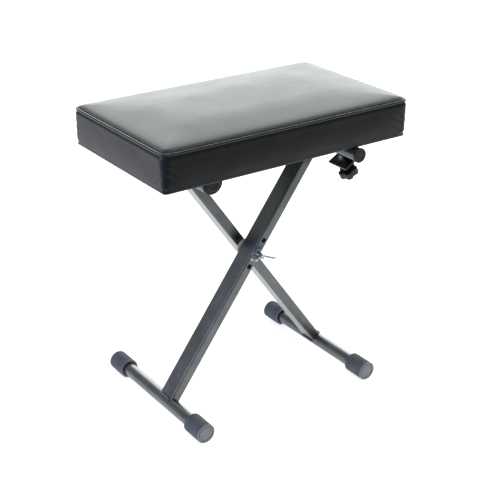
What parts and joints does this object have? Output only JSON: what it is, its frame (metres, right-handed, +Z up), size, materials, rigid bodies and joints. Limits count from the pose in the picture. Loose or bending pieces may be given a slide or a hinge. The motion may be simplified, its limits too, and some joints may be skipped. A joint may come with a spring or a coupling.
{
  "type": "piano bench",
  "caption": "Folding X-frame bench of steel tube with a padded vinyl box seat, ribbed rubber feet, a wing nut at the pivot and a clamp knob under the seat.",
  "frame": {"origin": "on the floor under the middle of the seat, straight below the pivot bolt", "axes": "+Z up, +X along the seat's long side, +Y from the wing nut side to the back"},
  "size_m": [0.526, 0.316, 0.567],
  "materials": {
    "frame_paint": "satin",
    "painted_weld": "satin",
    "grey_rubber": "matte",
    "black_plastic": "satin",
    "zinc_steel": "satin",
    "zinc_casting": "satin",
    "nylon": "satin",
    "plywood": "matte",
    "foam": "matte",
    "vinyl": "satin",
    "vinyl_piping": "satin",
    "dust_cloth": "matte",
    "black_steel": "satin"
  },
  "bodies": {
    "rear_frame": {"rear_leg": "frame_paint", "left_top_tube": "frame_paint", "right_foot_tube": "frame_paint", "left_top_cap_front": "black_plastic", "left_top_cap_rear": "black_plastic", "right_foot_cap_front": "grey_rubber", "right_foot_cap_rear": "grey_rubber", "rear_frame_welds": "painted_weld", "pivot_bolt": "zinc_steel", "pivot_spacer": "nylon", "pivot_washer": "zinc_steel"},
    "front_frame": {"front_leg": "frame_paint", "right_top_tube": "frame_paint", "left_foot_tube": "frame_paint", "right_top_cap_front": "black_plastic", "right_top_cap_rear": "black_plastic", "left_foot_cap_front": "grey_rubber", "left_foot_cap_rear": "grey_rubber", "front_frame_welds": "painted_weld"},
    "seat": {"seat_board": "plywood", "foam_block": "foam", "cover_top": "vinyl", "cover_band": "vinyl", "piping": "vinyl_piping", "dust_cover": "dust_cloth", "t_nuts": "zinc_steel", "bracket_screws": "black_steel", "staples": "zinc_steel", "bearing_block_front": "black_plastic", "bearing_block_rear": "black_plastic", "saddle_front": "black_steel", "saddle_rear": "black_steel", "hook_front": "black_steel", "hook_rear": "black_steel", "clamp_weld_nut": "zinc_steel"},
    "clamp_knob": {"knob_head": "black_plastic", "knob_stud": "zinc_steel"},
    "wing_nut": {"wing_nut": "zinc_casting"}
  },
  "joints": [
    {"name": "scissor_fold", "type": "hinge", "parent": "rear_frame", "child": "front_frame", "pos_m": [0, 0, 0.2802], "axis": [0, -1, 0], "range_deg": [0, 58]},
    {"name": "seat_hinge", "type": "hinge", "parent": "rear_frame", "child": "seat", "pos_m": [-0.145, 0, 0.476], "axis": [0, -1, 0], "range_deg": [0, 29]},
    {"name": "wing_nut_turn", "type": "hinge", "parent": "rear_frame", "child": "wing_nut", "pos_m": [0, -0.05, 0.2802], "axis": [0, -1, 0], "continuous": true},
    {"name": "clamp_knob_turn", "type": "hinge", "parent": "seat", "child": "clamp_knob", "pos_m": [0.13894, -0.101, 0.4725], "axis": [0.5, 0, -0.866], "continuous": true}
  ],
  "couplings": [
    {"joint": "seat_hinge", "follows": "scissor_fold", "ratio": 0.5}
  ]
}
